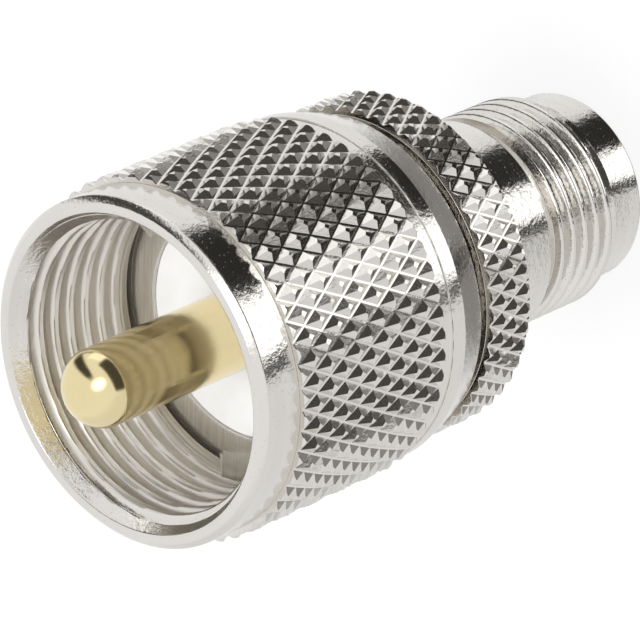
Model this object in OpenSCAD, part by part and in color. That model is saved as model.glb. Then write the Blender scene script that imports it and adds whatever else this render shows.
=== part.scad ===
// Coaxial adapter: a plug with a captive coupling nut and a solid centre pin at one end,
// and a small threaded jack at the other. It stands on its jack end, with the plug facing up.

/* [Jack end] */
// Diameter of the plain lip at the mouth of the jack
lip_d = 9.8; // [9.5:0.05:10.4]
// Length of the plain lip
lip_len = 2.5; // [1.5:0.1:4]
// Diameter over the crests of the jack's outer thread
jack_thread_d = 11.1; // [10.8:0.05:11.4]
// Diameter at the bottom of that thread's grooves
jack_root_d = 10.14; // [9.9:0.02:10.4]
// Distance between the turns of that thread
jack_pitch = 0.907; // [0.8:0.001:1]
// Length of the jack's outer thread
jack_thread_len = 4.6; // [3:0.1:6]
// Diameter of the relief groove behind the thread
relief_d = 10.2; // [9.8:0.1:10.6]
// Length of the relief groove
relief_len = 0.9; // [0.5:0.1:1.5]
// Diameter of the plain shank
shank_d = 11.3; // [11:0.1:12]
// Length of the plain shank
shank_len = 4.9; // [4:0.1:8]
// Bore of the jack that takes the mating plug's outer contact
mouth_d = 8.12; // [8:0.02:8.3]
// Depth of that bore down to its shoulder
mouth_depth = 8.4; // [7.5:0.1:9]
// Thickness of the shoulder that seats the jack insulator
shoulder_t = 1; // [0.7:0.1:1.5]

/* [Knurl] */
// Depth of the knurls' grooves
knurl_depth = 0.45; // [0.2:0.01:0.6]
// Number of diamonds round the coupling nut
nut_knurl_count = 51; // [36:1:72]
// Diameter at the bottom of the coupling nut's grooves
nut_knurl_root_d = 17.74; // [17.4:0.02:18]
// Height of half a diamond on the coupling nut
nut_knurl_step = 1; // [0.7:0.05:1]
// Half diamonds along the coupling nut
nut_knurl_rows = 10; // [6:1:10]
// Direction of the coupling nut's first diamond
nut_knurl_turn = 1.12; // [0:0.02:10]
// Number of diamonds round the flange
flange_knurl_count = 52; // [36:1:72]
// Diameter at the bottom of the flange's grooves
flange_knurl_root_d = 16.6; // [16:0.02:17]
// Height of half a diamond on the flange
flange_knurl_step = 0.88; // [0.7:0.02:1]
// Direction of the flange's first diamond
flange_knurl_turn = 2.84; // [0:0.02:10]

/* [Body] */
// Length of the knurled flange
flange_len = 3; // [2:0.1:5]
// Diameter of the flange's rear face, inside its chamfer
flange_rear_d = 16.8; // [16.4:0.02:17.2]
// Outside diameter of the plug's sleeve
sleeve_d = 14.56; // [14.2:0.02:14.6]
// Inside diameter of the plug's sleeve
sleeve_bore_d = 11.7; // [11:0.1:12]
// Length of the sleeve from the flange to its milled face
sleeve_len = 8.7; // [7.5:0.1:10]
// Bore through the body for the jack insulator
core_bore_d = 6.5; // [5.5:0.1:8]
// Height of the two locking teeth on the sleeve's face
tooth_h = 1.8; // [1:0.1:2.5]
// Width of a tooth at half its height, as an angle
tooth_angle = 60; // [30:1:80]
// Direction of the first tooth, from the X axis
tooth_turn = 173; // [0:1:180]

/* [Coupling nut] */
// Length of the coupling nut
nut_len = 15.95; // [15:0.05:18]
// Space between the flange and the nut when the nut is down
nut_gap = 0.65; // [0.2:0.05:1]
// How far the nut slides up its sleeve
nut_travel = 2; // [0.5:0.1:2.5]
// Diameter over the crests of the nut's inner thread
nut_thread_d = 14.76; // [14.7:0.01:14.9]
// Diameter at the bottom of that thread's grooves
nut_root_d = 15.86; // [15.6:0.02:16]
// Distance between the turns of that thread
nut_pitch = 1.058; // [0.9:0.001:1.2]
// Length of the inner thread
nut_thread_len = 7.2; // [5:0.1:8]
// Diameter of the clear bore behind the thread
nut_clear_d = 15.5; // [15:0.1:15.7]
// Length of that clear bore
nut_clear_len = 1.2; // [0.5:0.1:2]
// Outer diameter of the flat rim face
rim_d = 17.04; // [16.6:0.02:17.2]
// Inner diameter of the flat rim face
rim_inner_d = 16.16; // [15.8:0.02:16.4]
// Diameter of the plain band behind the rim
band_d = 17.7; // [17.4:0.05:18]
// Distance from the rim to the knurl
band_len = 2.5; // [1:0.05:4]
// Diameter of the narrow land behind the knurl
land_d = 17.84; // [17.4:0.02:18]
// Length of the narrow land
land_len = 0.75; // [0.2:0.05:1]
// Diameter of the plain collar at the rear of the nut
collar_d = 18; // [17.6:0.02:18.4]
// Diameter at the foot of the rear taper
tail_d = 17.06; // [16.8:0.02:17.6]
// Length of the rear taper
tail_len = 1.8; // [0.5:0.05:2.2]
// Bore of the nut over the sleeve
nut_bore_d = 14.8; // [14.7:0.02:15]

/* [Retaining ring] */
// Thickness of the split ring along the axis
ring_t = 0.8; // [0.5:0.05:1.2]
// Inside diameter of the split ring
ring_inner_d = 13.44; // [13:0.02:13.8]
// Outside diameter of the split ring
ring_outer_d = 15.64; // [15.2:0.02:15.8]
// Gap of the split, as an angle
ring_split = 24; // [10:1:60]
// Height of the ring above the nut's rear face
ring_lift = 1.65; // [1.2:0.05:2]

/* [Centre conductor] */
// Diameter of the centre pin
pin_d = 3.96; // [3.9:0.01:4.05]
// How far the pin stands out beyond the rim
pin_reach = 3.75; // [3:0.05:5]
// Height of the rounded tip
pin_tip_h = 1.6; // [1:0.05:1.9]
// Diameter of the pin's root inside the insulator
pin_root_d = 3.4; // [2.4:0.05:3.8]
// Outside diameter of the jack's contact
contact_d = 2.2; // [2:0.05:2.4]
// Diameter of the collar at the contact's upper end
contact_collar_d = 3.4; // [2.6:0.1:5]
// Thickness of that collar
contact_collar_t = 1; // [0.6:0.1:2]
// Hole of the jack's contact
socket_d = 1.36; // [1.3:0.02:1.45]
// Depth of that hole
socket_depth = 5.5; // [4.5:0.1:7]
// Length of the slots that make the contact's fingers
slot_len = 3.6; // [2:0.1:4.2]
// Width of those slots
slot_w = 0.22; // [0.15:0.01:0.3]
// Diameter of the contact's tail inside the pin
tail_pin_d = 1.6; // [1.2:0.05:1.9]
// Length of the contact's tail
tail_pin_len = 4.5; // [3:0.1:6]
// Distance from the jack's mouth to the contact
contact_recess = 3.35; // [2.8:0.05:4]

/* [Insulators] */
// Diameter of the jack insulator's nose
nose_d = 4.75; // [4.4:0.05:4.85]
// Distance from the jack's mouth to the nose
nose_recess = 3.2; // [2.5:0.05:4]
// How far the plug insulator lies below the sleeve's milled face
face_recess = 0.1; // [0:0.05:0.5]

/* [Hidden] */
// Clearance of pieces that seat in one another
seat_gap = 0.02;
// Clearance of pieces that slide or turn on one another
run_gap = 0.05;
// Chamfers of the turned edges
lip_chamfer = 0.25;
mouth_chamfer = 0.35;
thread_chamfer = 0.35;
edge_chamfer = 0.12;
// Overlap of a cutter beyond the face that it cuts
over = 1;
// Depth of the knurl's band below its grooves, and the step at its ends
knurl_bed = 0.45;
knurl_core = 0.06;
knurl_relief = 0.05;
$fn = 96;

thread_z = lip_len;
relief_z = thread_z + jack_thread_len;
shank_z = relief_z + relief_len;
flange_z = shank_z + shank_len;
sleeve_z = flange_z + flange_len;
face_z = sleeve_z + sleeve_len;
nut_z = sleeve_z + nut_gap;
rim_z = nut_z + nut_len;
tip_z = rim_z + pin_reach;
seat_z = mouth_depth + shoulder_t;
insulator_z = face_z - face_recess;
contact_collar_z = sleeve_z - contact_collar_t;
ring_z = nut_z + ring_lift;
nut_knurl_z = rim_z - band_len - nut_knurl_rows * nut_knurl_step;
flange_knurl_top = sleeve_z - knurl_relief;
flange_knurl_rows = ceil(flange_len / flange_knurl_step);
thread_end_z = rim_z - nut_thread_len;
clear_end_z = thread_end_z - nut_clear_len;
rim_bevel = (band_d - rim_d) / 2;
rim_chamfer = (rim_inner_d - nut_thread_d) / 2;

// A turned solid from its half section, given as [radius, height] corners
module turned(section) {
    rotate_extrude() polygon(section);
}

// Corners of a thread's half section from its first turn on, with each turn as a plain ring groove
function thread_corners(crest_r, root_r, start, pitch, count) = [
    for (turn = [0:count - 1])
        each [[crest_r, start + (turn + 1 / 8) * pitch],
              [root_r, start + (turn + 3 / 8) * pitch],
              [root_r, start + (turn + 5 / 8) * pitch],
              [crest_r, start + (turn + 7 / 8) * pitch]]
];

// A band of pointed diamonds: corners at tip and groove height alternate like a chess board,
// and each square is folded along its groove
module knurl_band(z, rows, step, count, root_r) {
    sides = 2 * count;
    bed_r = root_r - knurl_bed;
    function corner_r(row, side) = root_r + ((row + side) % 2 == 0 ? knurl_depth : 0);
    function corner(r, side, height) = [r * cos(side * 360 / sides), r * sin(side * 360 / sides), height];
    function at(row, side) = row * sides + side % sides;
    function bed(end, side) = at(rows + 1 + end, side);
    points = concat(
        [for (row = [0:rows]) for (side = [0:sides - 1]) corner(corner_r(row, side), side, z + row * step)],
        [for (end = [0:1]) for (side = [0:sides - 1]) corner(bed_r, side, z + end * rows * step)]
    );
    even_folds = [
        for (row = [0:rows - 1]) for (side = [0:sides - 1]) if ((row + side) % 2 == 0)
            each [[at(row, side), at(row + 1, side), at(row, side + 1)],
                  [at(row, side + 1), at(row + 1, side), at(row + 1, side + 1)]]
    ];
    odd_folds = [
        for (row = [0:rows - 1]) for (side = [0:sides - 1]) if ((row + side) % 2 == 1)
            each [[at(row, side), at(row + 1, side + 1), at(row, side + 1)],
                  [at(row, side), at(row + 1, side), at(row + 1, side + 1)]]
    ];
    ends = [
        for (side = [0:sides - 1])
            each [[at(0, side), at(0, side + 1), bed(0, side + 1), bed(0, side)],
                  [at(rows, side + 1), at(rows, side), bed(1, side), bed(1, side + 1)]]
    ];
    beds = [for (side = [0:sides - 1]) [bed(0, side), bed(0, side + 1), bed(1, side + 1), bed(1, side)]];
    polyhedron(points, concat(even_folds, odd_folds, ends, beds));
}

// All that lies beyond a tooth's sloping flank, whose line at half height runs through the axis
module beyond_flank(turn, way) {
    reach = sleeve_d;
    rotate([0, 0, turn])
        rotate([90, 0, 90])
            linear_extrude(2 * reach, center = true)
                polygon([
                    [way * tooth_h / 2, face_z],
                    [way * reach, face_z],
                    [way * reach, face_z + tooth_h + over],
                    [-way * (tooth_h / 2 + over), face_z + tooth_h + over]
                ]);
}

// The cut between the two teeth on one side
module tooth_gap(turn) {
    intersection() {
        beyond_flank(turn + tooth_angle / 2, 1);
        beyond_flank(turn + 180 - tooth_angle / 2, -1);
    }
}

// Knurl of the flange, chamfered at its rear edge
module flange_knurl() {
    root_r = flange_knurl_root_d / 2;
    inner_r = root_r - knurl_bed - over;
    outer_r = root_r + knurl_depth + knurl_relief;
    chamfer = outer_r - flange_rear_d / 2;
    intersection() {
        rotate([0, 0, flange_knurl_turn])
            knurl_band(flange_knurl_top - flange_knurl_rows * flange_knurl_step, flange_knurl_rows,
                flange_knurl_step, flange_knurl_count, root_r);
        turned([
            [inner_r, flange_z],
            [flange_rear_d / 2, flange_z],
            [outer_r, flange_z + chamfer],
            [outer_r, sleeve_z],
            [inner_r, sleeve_z]
        ]);
    }
}

// Turned body: jack shell, knurled flange and the sleeve of the plug in one piece
module adapter_body() {
    lip_r = lip_d / 2;
    thread_r = jack_thread_d / 2;
    sleeve_r = sleeve_d / 2;
    groove_r = ring_inner_d / 2 - run_gap;
    groove_z = ring_z - run_gap;
    groove_top = ring_z + ring_t + nut_travel + run_gap;
    top_z = face_z + tooth_h;
    crest_z = thread_z + thread_chamfer;
    turns = floor((relief_z - crest_z) / jack_pitch);
    core_r = flange_knurl_root_d / 2 - knurl_core;
    color([0.78, 0.77, 0.74]) {
        difference() {
            turned(concat(
                [[mouth_d / 2 + mouth_chamfer, 0],
                 [lip_r - lip_chamfer, 0],
                 [lip_r, lip_chamfer],
                 [lip_r, thread_z],
                 [thread_r - thread_chamfer, thread_z],
                 [thread_r, crest_z]],
                thread_corners(thread_r, jack_root_d / 2, crest_z, jack_pitch, turns),
                [[thread_r, relief_z],
                 [relief_d / 2, relief_z],
                 [relief_d / 2, shank_z],
                 [shank_d / 2, shank_z],
                 [shank_d / 2, flange_z],
                 [core_r, flange_z],
                 [core_r, sleeve_z],
                 [sleeve_r, sleeve_z],
                 [sleeve_r, groove_z],
                 [groove_r, groove_z],
                 [groove_r, groove_top],
                 [sleeve_r, groove_top],
                 [sleeve_r, top_z],
                 [sleeve_bore_d / 2, top_z],
                 [sleeve_bore_d / 2, sleeve_z],
                 [core_bore_d / 2, sleeve_z],
                 [core_bore_d / 2, seat_z],
                 [nose_d / 2 + seat_gap, seat_z],
                 [nose_d / 2 + seat_gap, mouth_depth],
                 [mouth_d / 2, mouth_depth],
                 [mouth_d / 2, mouth_chamfer]]
            ));
            for (side = [0, 180]) tooth_gap(tooth_turn + side);
        }
        flange_knurl();
    }
}

// Coupling nut: threaded mouth, knurled grip and a rear bore that turns on the sleeve
module coupling_nut() {
    root_r = nut_knurl_root_d / 2;
    core_r = root_r - knurl_core;
    crest_r = nut_thread_d / 2;
    mouth_z = rim_z - rim_chamfer;
    turns = floor((mouth_z - thread_end_z) / nut_pitch);
    band_z = rim_z - band_len + knurl_relief;
    land_z = nut_knurl_z - knurl_relief;
    collar_top = land_z - land_len;
    groove_r = ring_outer_d / 2 + run_gap;
    groove_top = ring_z + ring_t + run_gap;
    bore_r = nut_bore_d / 2;
    color([0.8, 0.79, 0.76]) {
        turned(concat(
            [[bore_r + edge_chamfer, nut_z],
             [tail_d / 2 - edge_chamfer, nut_z],
             [tail_d / 2, nut_z + edge_chamfer],
             [collar_d / 2, nut_z + tail_len],
             [collar_d / 2, collar_top],
             [land_d / 2, collar_top],
             [land_d / 2, land_z],
             [core_r, land_z],
             [core_r, band_z],
             [band_d / 2, band_z],
             [band_d / 2, rim_z - rim_bevel],
             [rim_d / 2, rim_z],
             [rim_inner_d / 2, rim_z],
             [crest_r, mouth_z]],
            thread_corners(crest_r, nut_root_d / 2, mouth_z, -nut_pitch, turns),
            [[crest_r, thread_end_z],
             [nut_clear_d / 2, thread_end_z],
             [nut_clear_d / 2, clear_end_z],
             [bore_r, clear_end_z],
             [bore_r, groove_top],
             [groove_r, groove_top],
             [groove_r, ring_z - run_gap],
             [bore_r, ring_z - run_gap],
             [bore_r, nut_z + edge_chamfer]]
        ));
        rotate([0, 0, nut_knurl_turn])
            knurl_band(nut_knurl_z, nut_knurl_rows, nut_knurl_step, nut_knurl_count, root_r);
    }
}

// Split spring ring, carried in the nut's groove and sliding in the sleeve's long groove
module retaining_ring() {
    color([0.62, 0.61, 0.58])
        rotate([0, 0, ring_split / 2])
            rotate_extrude(angle = 360 - ring_split)
                translate([ring_inner_d / 2, ring_z])
                    square([(ring_outer_d - ring_inner_d) / 2, ring_t]);
}

// White insulator of the plug, seated on the floor of the sleeve
module plug_insulator() {
    outer_r = sleeve_bore_d / 2 - seat_gap;
    hole_r = pin_root_d / 2 + seat_gap;
    color([0.96, 0.96, 0.94])
        turned([
            [hole_r, sleeve_z],
            [outer_r, sleeve_z],
            [outer_r, insulator_z - edge_chamfer],
            [outer_r - edge_chamfer, insulator_z],
            [hole_r, insulator_z]
        ]);
}

// White insulator of the jack, with the nose that stands in the jack's bore
module jack_insulator() {
    base_r = core_bore_d / 2 - seat_gap;
    nose_r = nose_d / 2;
    hole_r = contact_d / 2 + seat_gap;
    collar_r = contact_collar_d / 2 + seat_gap;
    color([0.96, 0.96, 0.94])
        turned([
            [hole_r, nose_recess],
            [nose_r - edge_chamfer, nose_recess],
            [nose_r, nose_recess + edge_chamfer],
            [nose_r, seat_z],
            [base_r, seat_z],
            [base_r, sleeve_z],
            [collar_r, sleeve_z],
            [collar_r, contact_collar_z],
            [hole_r, contact_collar_z]
        ]);
}

// Gilt centre pin with a rounded tip, a shoulder on the insulator and a hole for the contact's tail
module centre_pin() {
    pin_r = pin_d / 2;
    tip_r = (pin_r * pin_r + pin_tip_h * pin_tip_h) / (2 * pin_tip_h);
    hole_depth = tail_pin_len + edge_chamfer;
    tip_foot_z = tip_z - pin_tip_h;
    shoulder_z = insulator_z + edge_chamfer;
    color([0.83, 0.69, 0.35])
        difference() {
            union() {
                translate([0, 0, sleeve_z]) cylinder(d = pin_root_d, h = insulator_z - sleeve_z);
                translate([0, 0, insulator_z])
                    cylinder(d1 = pin_d - 2 * edge_chamfer, d2 = pin_d, h = edge_chamfer);
                translate([0, 0, shoulder_z]) cylinder(d = pin_d, h = tip_foot_z - shoulder_z);
                intersection() {
                    translate([0, 0, tip_z - tip_r]) sphere(r = tip_r);
                    translate([0, 0, tip_foot_z]) cylinder(d = pin_d, h = pin_tip_h + over);
                }
            }
            translate([0, 0, sleeve_z - over])
                cylinder(d = tail_pin_d + 2 * seat_gap, h = hole_depth + over);
        }
}

// Gilt contact of the jack: four slotted spring fingers, a collar and a tail inside the pin
module jack_contact() {
    color([0.83, 0.69, 0.35])
        difference() {
            union() {
                translate([0, 0, contact_recess]) cylinder(d = contact_d, h = sleeve_z - contact_recess);
                translate([0, 0, contact_collar_z]) cylinder(d = contact_collar_d, h = contact_collar_t);
                translate([0, 0, sleeve_z]) cylinder(d = tail_pin_d, h = tail_pin_len);
            }
            translate([0, 0, contact_recess - over]) cylinder(d = socket_d, h = socket_depth + over);
            for (turn = [0, 90])
                rotate([0, 0, turn])
                    translate([-contact_d, -slot_w / 2, contact_recess - over])
                        cube([2 * contact_d, slot_w, slot_len + over]);
        }
}

adapter_body();
coupling_nut();
retaining_ring();
plug_insulator();
jack_insulator();
centre_pin();
jack_contact();
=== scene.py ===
"""Looks of a nickel-plated coaxial adapter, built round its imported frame.

The adapter stands on its jack end with the plug facing up. Shapes are modelled in millimetres, as a turner
would read them off a drawing, and scaled to metres when each piece is finished. In the pieces' sizes, names
that end in _r are radii, those in _len, _h or _depth are lengths, and those in _z, _low, _high, _top or _end
are heights above the jack's end.
"""

import logging
import math
from dataclasses import dataclass
from enum import Enum
from functools import cached_property

import bpy
import numpy as np
from bpy.types import Material, Node, NodeSocket, NodeTree, Object, World
from mathutils import Matrix, Vector

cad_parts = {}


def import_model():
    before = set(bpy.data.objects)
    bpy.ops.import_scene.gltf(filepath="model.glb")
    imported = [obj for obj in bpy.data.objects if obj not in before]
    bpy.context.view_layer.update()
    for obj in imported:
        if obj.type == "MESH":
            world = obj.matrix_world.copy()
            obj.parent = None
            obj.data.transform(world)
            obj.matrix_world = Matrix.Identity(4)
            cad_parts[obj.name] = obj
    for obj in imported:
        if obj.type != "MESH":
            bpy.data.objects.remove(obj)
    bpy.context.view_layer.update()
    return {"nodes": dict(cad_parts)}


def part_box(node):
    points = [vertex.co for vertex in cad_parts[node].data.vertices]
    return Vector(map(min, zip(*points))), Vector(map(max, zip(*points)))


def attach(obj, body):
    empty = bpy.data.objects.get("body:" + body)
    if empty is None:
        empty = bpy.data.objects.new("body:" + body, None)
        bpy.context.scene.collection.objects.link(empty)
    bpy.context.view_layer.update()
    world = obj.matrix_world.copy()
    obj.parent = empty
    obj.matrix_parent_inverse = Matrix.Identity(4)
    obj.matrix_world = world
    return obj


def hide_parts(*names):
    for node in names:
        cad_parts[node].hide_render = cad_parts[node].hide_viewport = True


LOG = logging.getLogger("adapter")
MM = 0.001
MICRON = 1e-6
WELD = 1e-5
SLIVER = 0.001
FULL_TURN = 2 * math.pi

Rgb = tuple[float, float, float]


class Slot(Enum):
    """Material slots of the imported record."""

    NICKEL = "nickel_plate"
    SPRING = "spring_steel"
    INSULATOR = "white_insulator"
    GOLD = "gold_plate"


@dataclass(frozen=True)
class Corner:
    """One corner of a turned section.

    Attributes:
        r: Distance from the axis, in millimetres.
        z: Height above the jack's end, in millimetres.
        soft: Width taken off the corner by its rounding, in millimetres.
    """

    r: float
    z: float
    soft: float = 0.03


class Bench:
    """Modelling steps that several pieces share, each made with the operators used by hand."""

    @staticmethod
    def clear() -> None:
        """Leaves edit mode and deselects everything."""
        if bpy.context.mode != "OBJECT":
            bpy.ops.object.mode_set(mode="OBJECT")
        bpy.ops.object.select_all(action="DESELECT")

    @classmethod
    def focus(cls, first: Object, *others: Object) -> None:
        """Selects objects and makes the first one active."""
        cls.clear()
        for obj in (*others, first):
            obj.select_set(True)
        bpy.context.view_layer.objects.active = first

    @staticmethod
    def pick(obj: Object, wanted: np.ndarray) -> None:
        """Selects the vertices that a mask names and goes into edit mode.

        Args:
            obj: The object to work on.
            wanted: One truth value for each vertex.
        """
        bpy.ops.object.mode_set(mode="EDIT")
        bpy.ops.mesh.select_mode(type="VERT")
        bpy.ops.mesh.select_all(action="DESELECT")
        bpy.ops.object.mode_set(mode="OBJECT")
        obj.data.vertices.foreach_set("select", wanted)
        bpy.ops.object.mode_set(mode="EDIT")

    @staticmethod
    def places(obj: Object) -> np.ndarray:
        """Returns the vertices' places as rows of x, y and z, leaving edit mode first."""
        bpy.ops.object.mode_set(mode="OBJECT")
        flat = np.empty(len(obj.data.vertices) * 3)
        obj.data.vertices.foreach_get("co", flat)
        return flat.reshape(-1, 3)

    @classmethod
    def section(cls, name: str, corners: list[Corner], closed: bool) -> Object:
        """Draws a half section as a chain of extruded vertices and rounds its corners.

        Args:
            name: Name of the new object.
            corners: The section's corners in order.
            closed: Whether the last corner joins the first.

        Returns:
            The object, in edit mode.
        """
        cls.clear()
        bpy.ops.mesh.primitive_plane_add(size=1)
        obj = bpy.context.object
        obj.name = name
        bpy.ops.object.mode_set(mode="EDIT")
        bpy.ops.mesh.select_all(action="SELECT")
        bpy.ops.mesh.merge(type="CENTER")
        bpy.ops.transform.translate(value=(corners[0].r, 0, corners[0].z))
        for old, new in zip(corners, corners[1:]):
            step = (new.r - old.r, 0, new.z - old.z)
            bpy.ops.mesh.extrude_vertices_move(TRANSFORM_OT_translate={"value": step})
        if closed:
            ends = np.zeros(len(corners), bool)
            ends[[0, -1]] = True
            cls.pick(obj, ends)
            bpy.ops.mesh.edge_face_add()
        for soft in sorted({c.soft for c in corners if c.soft}):
            spots = np.array([(c.r, 0, c.z) for c in corners if c.soft == soft])
            away = np.linalg.norm(cls.places(obj)[:, None] - spots[None], axis=2).min(axis=1)
            cls.pick(obj, away < WELD)
            bpy.ops.mesh.bevel(offset=soft, segments=3, affect="VERTICES")
        return obj

    @classmethod
    def divide(cls, obj: Object, first: Corner, last: Corner, cuts: int) -> None:
        """Divides a straight run of a section into short lengths.

        Args:
            obj: The section.
            first: Corner where the run starts.
            last: Corner where it ends.
            cuts: Number of new points.
        """
        run = np.array((last.r - first.r, last.z - first.z))
        off = cls.places(obj)[:, [0, 2]] - (first.r, first.z)
        share = off @ run / (run @ run)
        aside = np.linalg.norm(off - share[:, None] * run, axis=1)
        cls.pick(obj, (aside < WELD) & (share > -WELD) & (share < 1 + WELD))
        bpy.ops.mesh.subdivide(number_cuts=cuts)

    @classmethod
    def spin(cls, obj: Object, steps: int) -> None:
        """Turns a section once round the axis and closes the seam.

        Args:
            obj: The section.
            steps: Number of facets round.
        """
        bpy.ops.object.mode_set(mode="EDIT")
        bpy.ops.mesh.select_all(action="SELECT")
        bpy.ops.mesh.spin(steps=steps, angle=FULL_TURN, center=(0, 0, 0), axis=(0, 0, 1))
        cls.weld()

    @staticmethod
    def weld() -> None:
        """Merges doubles in edit mode and turns all faces outwards."""
        bpy.ops.mesh.select_all(action="SELECT")
        bpy.ops.mesh.remove_doubles(threshold=WELD)
        bpy.ops.mesh.normals_make_consistent(inside=False)

    @classmethod
    def join(cls, first: Object, *others: Object) -> None:
        """Joins objects into the first one."""
        cls.focus(first, *others)
        bpy.ops.object.join()

    @classmethod
    def apply(cls, obj: Object, kind: str, **settings: object) -> None:
        """Adds a modifier to an object and applies it.

        Args:
            obj: The object.
            kind: The modifier's type.
            **settings: The modifier's properties.
        """
        cls.focus(obj)
        modifier = obj.modifiers.new(kind.lower(), kind)
        for name, value in settings.items():
            setattr(modifier, name, value)
        bpy.ops.object.modifier_apply(modifier=modifier.name)

    @classmethod
    def keep_inside(cls, obj: Object, envelope: list[Corner], steps: int) -> None:
        """Cuts off what stands out of a turned envelope.

        Args:
            obj: The object to cut.
            envelope: Half section of the envelope.
            steps: Number of facets round.
        """
        limit = cls.section("envelope", envelope, closed=True)
        cls.spin(limit, steps)
        cls.apply(obj, "BOOLEAN", operation="INTERSECT", solver="EXACT", object=limit)
        bpy.data.objects.remove(limit)

    @classmethod
    def smooth(cls, obj: Object, angle: float = 40) -> None:
        """Shades an object smooth up to an angle in degrees between faces."""
        cls.focus(obj)
        bpy.ops.object.shade_smooth_by_angle(angle=math.radians(angle))

    @classmethod
    def to_metres(cls, obj: Object) -> None:
        """Scales a piece modelled in millimetres to metres, in its mesh."""
        cls.focus(obj)
        obj.scale = (MM, MM, MM)
        bpy.ops.object.transform_apply(location=True, rotation=True, scale=True)


@dataclass(frozen=True)
class Thread:
    """A screw thread cut into a turned surface.

    Attributes:
        crest_r: Radius at the crests.
        root_r: Radius at the bottom of the grooves.
        pitch: Distance between turns.
        low: Height where the thread starts.
        high: Height where it ends.
        runout: Length over which the groove grows shallow at the inner end.
        inner_end: Height of that end.
        crest: Share of the pitch that the crest takes.
        root: Share of the pitch that the groove's bottom takes.
        rows: Rows of faces in each turn.
    """

    crest_r: float
    root_r: float
    pitch: float
    low: float
    high: float
    runout: float
    inner_end: float
    crest: float = 0.2
    root: float = 0.12
    rows: int = 22

    def cuts_in(self, length: float) -> int:
        """Returns the points that divide a length of the thread."""
        return round(length / self.pitch * self.rows)

    def radius(self, turn: np.ndarray, z: np.ndarray) -> np.ndarray:
        """Works out the thread's radius at places on its surface.

        Args:
            turn: Angles round the axis.
            z: Heights.

        Returns:
            The radius at each place, on a round-bottomed groove.
        """
        phase = (z / self.pitch - turn / FULL_TURN) % 1.0
        off_crest = 1 - abs(2 * phase - 1)
        ramp = np.clip((off_crest - self.crest) / (1 - self.crest - self.root), 0, 1)
        depth = ramp * ramp * (3 - 2 * ramp)
        fade = np.clip(abs(z - self.inner_end) / self.runout, 0, 1)
        return self.crest_r + (self.root_r - self.crest_r) * depth * fade

    def cut(self, obj: Object) -> None:
        """Moves the vertices of a turned surface to the bottom of the thread's groove.

        Args:
            obj: A turned object with fine rows along the thread.
        """
        co = Bench.places(obj)
        r = np.hypot(co[:, 0], co[:, 1])
        span = abs(self.root_r - self.crest_r)
        near = (co[:, 2] > self.low - WELD) & (co[:, 2] < self.high + WELD)
        near &= abs(r - self.crest_r) < span
        wanted = self.radius(np.arctan2(co[:, 1], co[:, 0]), co[:, 2])
        deeper = np.maximum if self.root_r > self.crest_r else np.minimum
        scale = np.where(near, deeper(r, wanted) / np.maximum(r, WELD), 1.0)
        co[:, :2] *= scale[:, None]
        obj.data.vertices.foreach_set("co", co.ravel())
        obj.data.update()


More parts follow.
